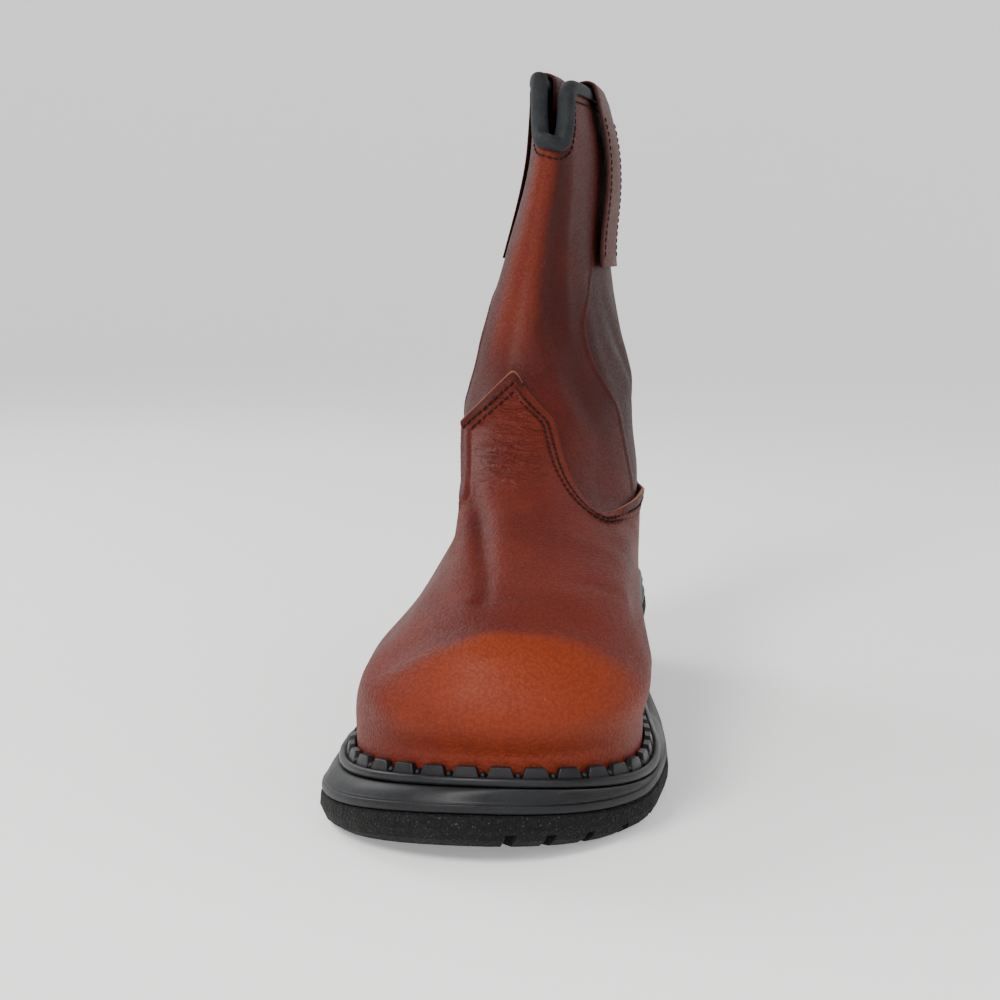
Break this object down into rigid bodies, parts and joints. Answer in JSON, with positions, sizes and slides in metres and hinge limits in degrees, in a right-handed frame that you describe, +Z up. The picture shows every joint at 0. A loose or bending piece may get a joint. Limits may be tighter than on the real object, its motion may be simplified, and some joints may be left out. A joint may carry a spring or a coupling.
{
  "type": "western work boot",
  "caption": "Right western pull-on work boot in red-brown leather, with a safety toe, notched storm rib, pull straps and a black lugged sole with a heel.",
  "frame": {"origin": "on the floor, under the middle of the heel", "axes": "+Z up, -Y towards the toe, +X towards the wearer's inner (medial) side of this right boot"},
  "size_m": [0.1198, 0.3366, 0.2683],
  "materials": {
    "leather": "satin",
    "outsole_rubber": "matte",
    "midsole_rubber": "satin",
    "binding": "matte",
    "insole_board": "matte"
  },
  "bodies": {
    "root": {"outsole": "outsole_rubber", "heel_block": "outsole_rubber", "midsole": "midsole_rubber", "welt": "midsole_rubber", "insole": "insole_board", "upper": "leather", "collar_binding": "binding", "pull_strap_medial": "leather", "pull_strap_lateral": "leather"}
  },
  "joints": []
}
